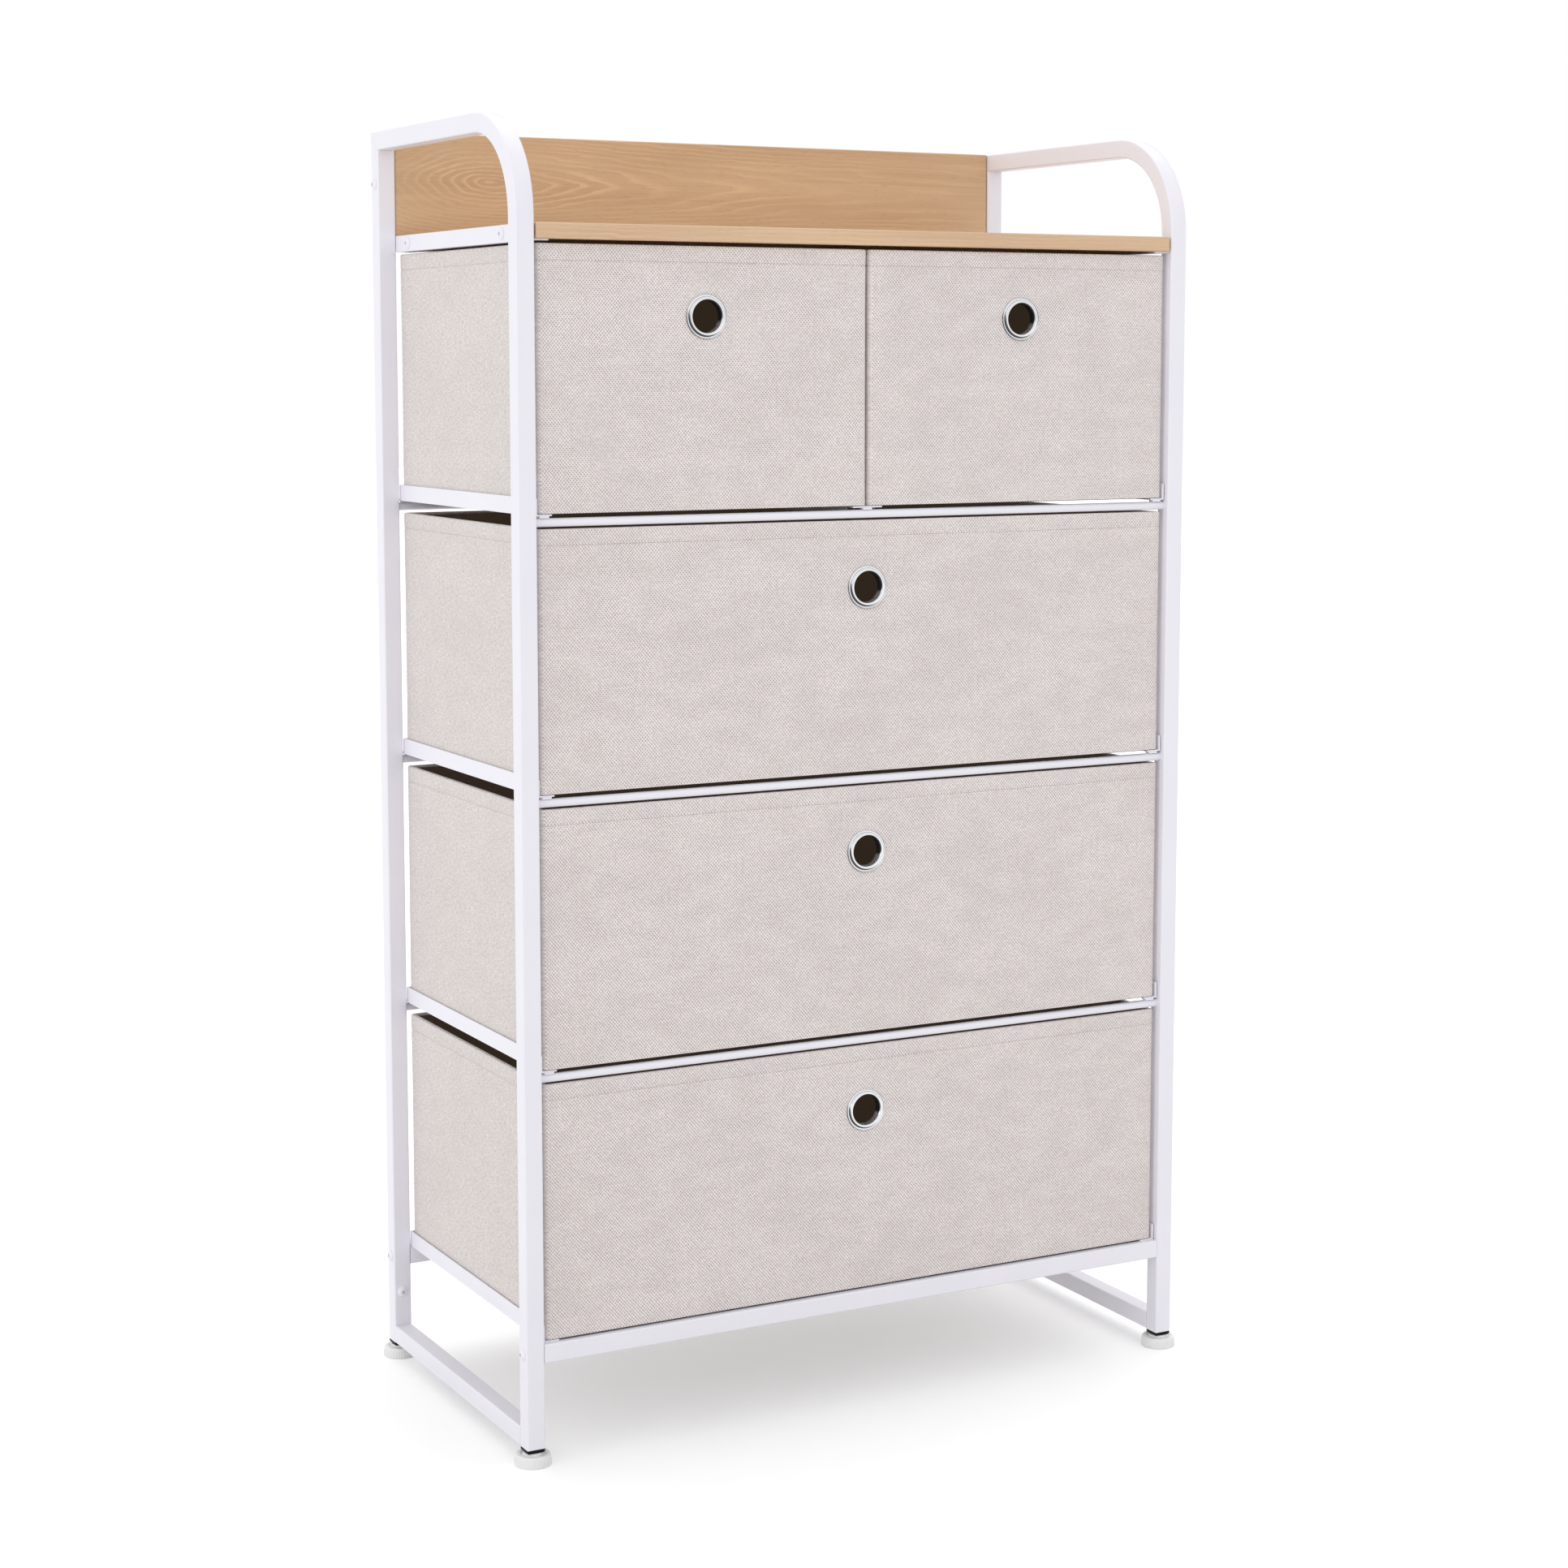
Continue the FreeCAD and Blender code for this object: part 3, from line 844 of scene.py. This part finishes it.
def foot_shape(height):
    """Ribbed disc with a rounded shoulder, a dished top and a boss."""
    shoulder = foot_rim_height - foot_edge_radius
    rim_start = foot_top_radius - foot_edge_radius
    rim_end = rim_start - foot_rim_width
    dish = foot_rim_height - foot_dish_depth
    taper = (foot_top_radius - foot_base_radius) / shoulder
    edge = foot_rib_depth
    profile = [(0, 0), (foot_base_radius - edge, 0), (foot_base_radius, edge)]
    for rise in (foot_rib_start, foot_rib_start + edge, foot_rib_end - edge, foot_rib_end):
        profile.append((foot_base_radius + taper * rise, rise))
    for across, rise in arc(0, 90, arc_steps):
        profile.append((rim_start + foot_edge_radius * across, shoulder + foot_edge_radius * rise))
    profile += [(rim_end, foot_rim_height), (rim_end - foot_dish_depth, dish), (foot_boss_radius, dish)]
    profile += [(foot_boss_radius, height - edge), (foot_boss_radius - edge, height), (0, height)]

    def ribbed(angle, radius, rise):
        in_band = foot_rib_start < rise < foot_rib_end
        return radius + foot_rib_depth * math.cos(foot_rib_count * angle) / 2 if in_band else radius
    return turned(profile, foot_rib_count * foot_steps_per_rib, ribbed)


def build_feet(materials):
    """Finely ribbed feet, in place of the plainer solids."""
    for corner in corner_names:
        node = corner + "_foot"
        low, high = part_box(node)
        middle = (low + high) / 2
        middle.z = low.z
        shape = moved(foot_shape(high.z - low.z), middle, UP)
        plastic = materials["white_plastic"]
        foot = finished(shape, corner + "_ribbed_foot", plastic, node, foot_smooth_angle)
        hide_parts(node)


def screw_shape():
    """Domed head on Z, with its seat at zero and a hexagon socket in its crown."""
    dome_rise = screw_head_height - screw_rim_height
    dome_radius = (screw_head_radius ** 2 + dome_rise ** 2) / (2 * dome_rise)
    dome_middle = screw_head_height - dome_radius
    socket_edge = screw_socket_radius / math.cos(math.pi / socket_sides)
    start_angle = math.degrees(math.acos(socket_edge / dome_radius))
    end_angle = math.degrees(math.acos(screw_head_radius / dome_radius))
    floor = screw_head_height - screw_socket_depth
    crown = dome_middle + dome_radius * math.sin(math.radians(start_angle))
    profile = [(0, floor), (screw_socket_radius, floor), (screw_socket_radius, crown)]
    for across, rise in arc(start_angle, end_angle, 2 * arc_steps):
        profile.append((dome_radius * across, dome_middle + dome_radius * rise))
    profile += [(screw_head_radius, 0), (0, 0)]

    def hexagon(angle, radius, rise):
        if radius != screw_socket_radius:
            return radius
        sector = 2 * math.pi / socket_sides
        return screw_socket_radius * math.cos(sector / 2) / math.cos(angle % sector - sector / 2)
    return turned(profile, screw_steps, hexagon)


def mirrored_seats(seats):
    """Seats on the left, and the same ones on the right."""
    flip = Matrix.Diagonal((-1, 1, 1))
    return seats + [(flip @ place, flip @ out) for place, out in seats]


def build_screws(name, seats, materials):
    """One piece with a screw head on each seat and on its mirror image."""
    heads = [moved(screw_shape(), place, out) for place, out in mirrored_seats(seats)]
    finished(joined(heads), name, materials["white_metal"], "frame", screw_smooth_angle)


def all_screws(materials):
    """Screw heads on the posts, on the shelf angles and on the fronts of the rear posts."""
    post_low, post_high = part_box("left_rear_post")
    rail_low, rail_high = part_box("rear_bottom_rail")
    angle_low, angle_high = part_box("left_shelf_angle")
    back_low, back_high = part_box("back_board")
    rear_y = (post_low.y + post_high.y) / 2
    rail_z = (rail_low.z + rail_high.z) / 2
    back_z = (back_low.z + back_high.z) / 2
    shelf_z = angle_low.z + (angle_high.z - angle_low.z) * shelf_screw_height_share
    build_screws("post_screws", [
        (Vector((post_low.x, -rear_y, rail_z)), LEFTWARD),
        (Vector((post_low.x, rear_y, rail_z)), LEFTWARD),
        (Vector((post_low.x, rear_y, back_z)), LEFTWARD),
    ], materials)
    build_screws("shelf_screws", [
        (Vector((angle_low.x, shelf_screw_front_y, shelf_z)), LEFTWARD),
        (Vector((angle_low.x, shelf_screw_rear_y, shelf_z)), LEFTWARD),
    ], materials)
    post_x = (post_low.x + post_high.x) / 2
    build_screws("rear_post_screws", [
        (Vector((post_x, post_low.y, post_screw_height)), FORWARD),
    ], materials)


# Stage

def paint_nodes(materials):
    """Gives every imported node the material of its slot."""
    for entry in frame["record"]["subparts"]:
        node = frame["nodes"][entry["node"]]
        node.data.materials.clear()
        node.data.materials.append(materials[entry["material_slot"]])
        if entry["material_slot"] == "white_metal":
            soften(node, metal_edge_radius)


def soften(node, width):
    """Small rounded edges, which also show where two tubes meet."""
    weld = node.modifiers.new("weld", "WELD")
    weld.merge_threshold = weld_distance
    round_off = node.modifiers.new("round_edges", "BEVEL")
    round_off.width = width
    round_off.segments = metal_edge_segments
    round_off.limit_method = "ANGLE"
    round_off.angle_limit = math.radians(edge_angle)
    round_off.harden_normals = True


def white_when_seen(tree):
    """1 for what the camera sees, straight or by reflection, and 0 for light on the object."""
    path = add_node(tree, "LightPath").outputs
    seen = maths(tree, "MAXIMUM", path["Is Camera Ray"], path["Is Glossy Ray"])
    return maths(tree, "MAXIMUM", seen, path["Is Transmission Ray"])


def build_world():
    """Even white light from all sides."""
    world = bpy.data.worlds.new("studio")
    bpy.context.scene.world = world
    world.use_nodes = True
    background = world.node_tree.nodes["Background"]
    background.inputs["Color"].default_value = (1, 1, 1, 1)
    background.inputs["Strength"].default_value = world_strength


def build_floor():
    """White floor that glows a little for the camera and keeps the shadow."""
    half = floor_size / 2
    corners = [(-half, -half, 0), (half, -half, 0), (half, half, 0), (-half, half, 0)]
    mesh = bpy.data.meshes.new("floor")
    mesh.from_pydata(corners, [], [(0, 1, 2, 3)])
    floor = bpy.data.objects.new("floor", mesh)
    bpy.context.collection.objects.link(floor)
    material, tree, shader = start_material("white_floor")
    speckle = grain(tree, object_place(tree), scale=30.0)
    set_inputs(tree, shader, {
        "Base Color": mixed(tree, speckle, srgb(228, 228, 228), srgb(232, 232, 232)),
        "Roughness": varied(tree, speckle, 0.85, 0.95),
        "Specular IOR Level": 0.0,
        "Emission Color": (1, 1, 1, 1),
        "Emission Strength": maths(tree, "MULTIPLY", white_when_seen(tree), floor_glow),
    })
    mesh.materials.append(material)


def build_sun(name, strength, direction, spread):
    """Soft light that shines in a direction, from a disc as wide as its spread in degrees."""
    lamp = bpy.data.lights.new(name, "SUN")
    lamp.energy = strength
    lamp.angle = math.radians(spread)
    sun = bpy.data.objects.new(name, lamp)
    sun.rotation_euler = Vector(direction).to_track_quat("-Z", "Y").to_euler()
    bpy.context.collection.objects.link(sun)


def build_camera():
    """Camera at the photographer's place."""
    lens = bpy.data.cameras.new("camera")
    lens.lens = camera_lens
    lens.shift_y = camera_shift
    camera = bpy.data.objects.new("camera", lens)
    camera.location = camera_place
    camera.rotation_euler = (math.radians(90 + camera_pitch), 0, math.radians(camera_yaw))
    bpy.context.collection.objects.link(camera)
    bpy.context.scene.camera = camera


surfaces = all_materials()
paint_nodes(surfaces)
for drawer_name in drawer_names:
    build_drawer(drawer_name, surfaces)
build_feet(surfaces)
all_screws(surfaces)
build_world()
build_floor()
build_sun("side_light", side_strength, side_direction, side_spread)
build_sun("top_light", top_strength, top_direction, top_spread)
build_camera()
bpy.context.scene.view_settings.view_transform = "Standard"
